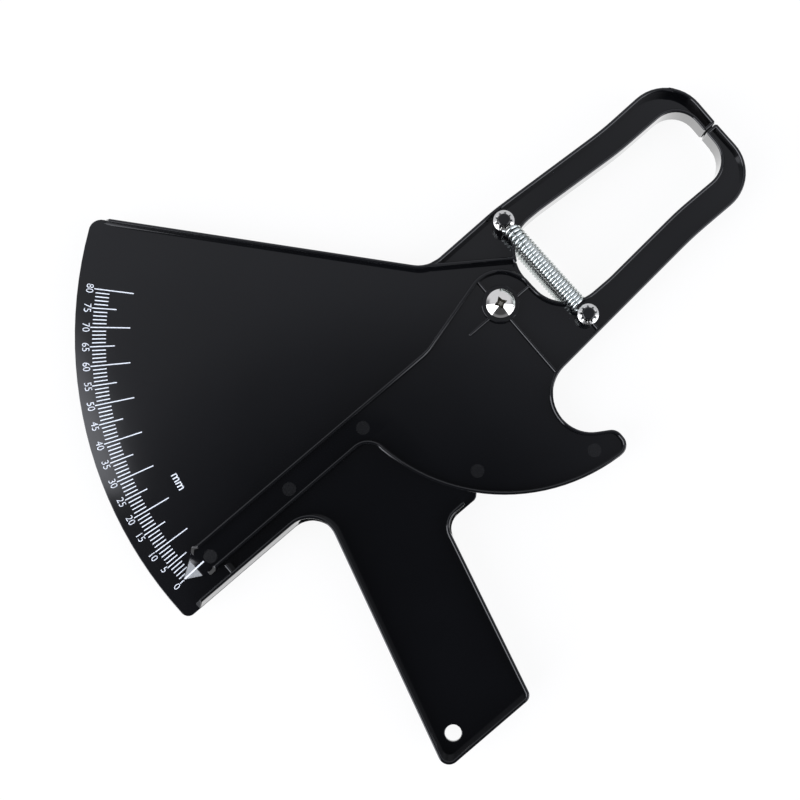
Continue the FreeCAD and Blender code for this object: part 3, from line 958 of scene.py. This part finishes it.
def pivot_screw():
    low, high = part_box("pivot_screw")
    centre = middle("pivot_screw")
    foot = Vector((centre.x, centre.y, low.z))
    seat = (high.z - low.z) / MM - HEAD_H
    root = SHANK_R - THREAD_DEPTH
    profile = [(SHANK_TIP_R, 0), (root, TIP_CHAMFER)]
    for k in range(THREAD_TURNS):
        height = TIP_CHAMFER + THREAD_PITCH * k
        profile += [(SHANK_R, height + THREAD_PITCH * 0.5), (root, height + THREAD_PITCH)]
    profile += [(SHANK_R, THREAD_END), (SHANK_R, seat)]
    profile += [(HEAD_R - HEAD_CHAMFER, seat), (HEAD_R, seat + HEAD_CHAMFER)]
    profile += [(radius, seat + height) for radius, height in dome()]
    piece = turned("pivot_screw_pan_head", foot, profile, HEAD_SIDES)
    for cutter in recess_cutters(Vector((centre.x, centre.y, high.z))):
        modify(piece, "BOOLEAN", operation="DIFFERENCE", object=cutter, solver="EXACT")
        bpy.data.objects.remove(cutter)
    smooth(piece, SCREW_SMOOTH_DEG)
    return finished(piece, "frame", "screw_steel", SCREW_NICKEL, "pivot_screw")


# --- Assembly -----------------------------------------------------------------
def carried_over():
    """Nodes whose shape is right as it is: they only get their finish."""
    finishes = {"pivot_sleeve": NUT_ZINC, "thrust_washer": NYLON}
    for node, finish in finishes.items():
        frame["nodes"][node].data.materials.clear()
        frame["nodes"][node].data.materials.append(finish)


moulding("body_frame_moulding", "body_frame", "frame", "frame_plastic", BLACK, *PLASTIC_EDGES)
moulding("lever_moulding", "lever", "lever", "lever_plastic", BLACK_LEVER, *PLASTIC_EDGES)
moulding("lock_nut_hexagon", "lock_nut", "frame", "nut_steel", NUT_ZINC, NUT_EDGES)
moulding("rear_washer_disc", "rear_washer", "frame", "washer_steel", NUT_ZINC, WASHER_EDGES)
carried_over()
pivot_screw()
star_rings()
spring("front_spring", SPRING_LEVEL, "front_spring_frame_end", "front_spring_lever_end")
spring("rear_spring", -SPRING_LEVEL, "rear_spring_frame_end", "rear_spring_lever_end")
scale_ticks()
scale_numbers()
unit_mark()
pointer_patch()
index_line()


# --- Studio: floor and camera -------------------------------------------------
FLOOR_SIZE = 6.0  # metres
FLOOR_DROP = 0.1  # it lies this far below the caliper
FLOOR_COLOUR = (0.9, 0.9, 0.9, 1.0)
FLOOR_ROUGHNESS = 0.9
FLOOR_GLOW = 1.0
FLOOR_SHARE = 0.9  # of the floor's brightness, what no shadow takes away
CAMERA_PLACE = at(-50.0, -40.0, 566.35)
CAMERA_TURN_DEG = -40.6
CAMERA_LENS = 63.0
CAMERA_SENSOR = 36
CAMERA_SHIFT = (-0.0884, 0.0763)

# --- Studio: the room that the plastic mirrors --------------------------------
# Right, left, top and bottom are the view's. A pair is where a soft step starts and ends.
# Tilts are degrees from straight up, shares are parts of a level direction, and leans
# are how far a direction goes sideways for each step up.
#
# Brightness of the ceiling against the angle in degrees from its dark middle, which runs
# from just below the view's centre to its bottom.
CEILING = [
    (2, 0.05), (8, 0.06), (10, 0.12), (12.5, 0.22), (15, 0.4), (19, 0.54), (22, 0.59), (27, 0.8)
]
CEILING_SPAN_DEG = 30
DARK_DOWN_DEG = 8.0
DARK_LEFT_DEG = 3.0
CALM = 0.3  # the ceiling is this much darker over the jaws
CALM_RIGHT_LEAN = (0.05, 0.12)
CALM_TOP_LEAN = (0.2, 0.3)
CALM_TILT = (16, 22)
WALL_TILT = (23, 34)  # the ceiling passes into the walls
WALL_SHARE = (-0.4, 0.3)  # and the bottom wall into the top one
TOP_GLOW = 0.8
BOTTOM_GLOW = 0.07
HORIZON_GLOW = 0.25
HORIZON_TILT = (60, 74)
HORIZON_SHARE = (0.2, 0.6)  # it ends towards the top wall
RIGHT_GLOW = 3.0
LEFT_GLOW = 4.5
PANEL_DROP = 0.466  # the side panels stand this far towards the bottom
PANEL_SHARE = (0.985, 1.02)
PANEL_TILT = (17, 20)
STRIP_GLOW = 3.0  # near edge of the left panel
STRIP_LEAN = 0.32
STRIP_NEAR = (0.245, 0.259)
STRIP_FAR = (0.4, 0.45)
STRIP_START = (-0.026, -0.018)
STRIP_END = (0.02, 0.135)
ROOM_TINT = (0.96, 0.98, 1.06)
EVEN = 0.0001  # keeps a square root above nought


def in_view(right, up):
    """A level direction given by how far it goes to the view's right and top."""
    turn = Matrix.Rotation(math.radians(CAMERA_TURN_DEG), 3, "Z")
    return (turn @ Vector((right, up, 0))).normalized()


def studio_world():
    """Pale room: a ceiling with one dark place, bright panels left and right, a dark near end."""
    world = bpy.data.worlds.new("studio")
    bpy.context.scene.world = world
    room = Finish(world)
    direction = room.coordinates("Generated")
    unit = room.node("ShaderNodeVectorMath", {"operation": "NORMALIZE"}, {0: direction})
    right = room.measure("DOT_PRODUCT", unit, in_view(1, 0))
    up = room.measure("DOT_PRODUCT", unit, in_view(0, 1))
    height = room.measure("DOT_PRODUCT", unit, (0, 0, 1))
    level = room.single("SQRT", 1 + EVEN - height * height)
    tilt = room.single("ARCCOSINE", height) * math.degrees(1)

    aside = right / height + math.tan(math.radians(DARK_LEFT_DEG))
    above = up / height + math.tan(math.radians(DARK_DOWN_DEG))
    above = room.node("ShaderNodeMath", {"operation": "MAXIMUM"}, {0: above, 1: 0.0})
    turn = room.single("SQRT", aside * aside + above * above) * math.degrees(1)
    stops = [(degrees / CEILING_SPAN_DEG, (glow, glow, glow, 1.0)) for degrees, glow in CEILING]
    ceiling = room.ramp(turn / CEILING_SPAN_DEG, stops)
    over_jaws = room.rise(aside, *CALM_RIGHT_LEAN) * room.rise(above, *CALM_TOP_LEAN)
    over_jaws = over_jaws * (1 - room.rise(tilt, *CALM_TILT))
    ceiling = ceiling * (1 - over_jaws * CALM)

    ends = BOTTOM_GLOW + room.rise(up / level, *WALL_SHARE) * (TOP_GLOW - BOTTOM_GLOW)
    glow = ceiling + (ends - ceiling) * room.rise(tilt, *WALL_TILT)
    low = room.rise(tilt, *HORIZON_TILT) * (1 - room.rise(up / level, *HORIZON_SHARE))
    glow = glow + (HORIZON_GLOW - glow) * low
    for side, brightness in ((right, RIGHT_GLOW), (-right, LEFT_GLOW)):
        panel = room.rise((side - up * PANEL_DROP) / level, *PANEL_SHARE)
        panel = panel * room.rise(tilt, *PANEL_TILT)
        glow = glow + (brightness - glow) * panel

    left = -right / height
    lift = up / height
    strip = room.rise(left - lift * STRIP_LEAN, *STRIP_NEAR) - room.rise(left, *STRIP_FAR)
    strip = strip * (room.rise(lift, *STRIP_START) - room.rise(lift, *STRIP_END))
    glow = glow + strip * STRIP_GLOW
    colour = {0: ROOM_TINT, "Scale": glow}
    tint = room.node("ShaderNodeVectorMath", {"operation": "SCALE"}, colour)
    room.feed(room.nodes["Background"].inputs["Color"], tint)


def floor():
    """Pale floor that looks white and keeps a faint shadow."""
    bpy.ops.mesh.primitive_plane_add(size=FLOOR_SIZE, location=(0, 0, -FLOOR_DROP * MM))
    piece = settle(made("floor"))
    material, finish, surface = new_finish("pale_floor", FLOOR_COLOUR, Roughness=FLOOR_ROUGHNESS)
    glow = finish.node("ShaderNodeEmission", {}, {"Strength": FLOOR_GLOW})
    seen = finish.node("ShaderNodeLightPath", output="Is Camera Ray")
    mirrored = finish.node("ShaderNodeLightPath", output="Is Glossy Ray")
    mix = finish.node("ShaderNodeMixShader", {}, {0: (seen + mirrored) * FLOOR_SHARE})
    shader = mix.socket.node
    finish.links.new(surface.outputs[0], shader.inputs[1])
    finish.links.new(glow.socket, shader.inputs[2])
    finish.links.new(mix.socket, finish.nodes["Material Output"].inputs["Surface"])
    piece.data.materials.append(material)


def camera():
    lens = bpy.data.cameras.new("camera")
    lens.sensor_width = CAMERA_SENSOR
    lens.lens = CAMERA_LENS
    lens.shift_x, lens.shift_y = CAMERA_SHIFT
    view = bpy.data.objects.new("camera", lens)
    bpy.context.scene.collection.objects.link(view)
    view.location = CAMERA_PLACE
    view.rotation_euler = (0, 0, math.radians(CAMERA_TURN_DEG))
    bpy.context.scene.camera = view


studio_world()
floor()
camera()
bpy.context.scene.view_settings.view_transform = "Standard"
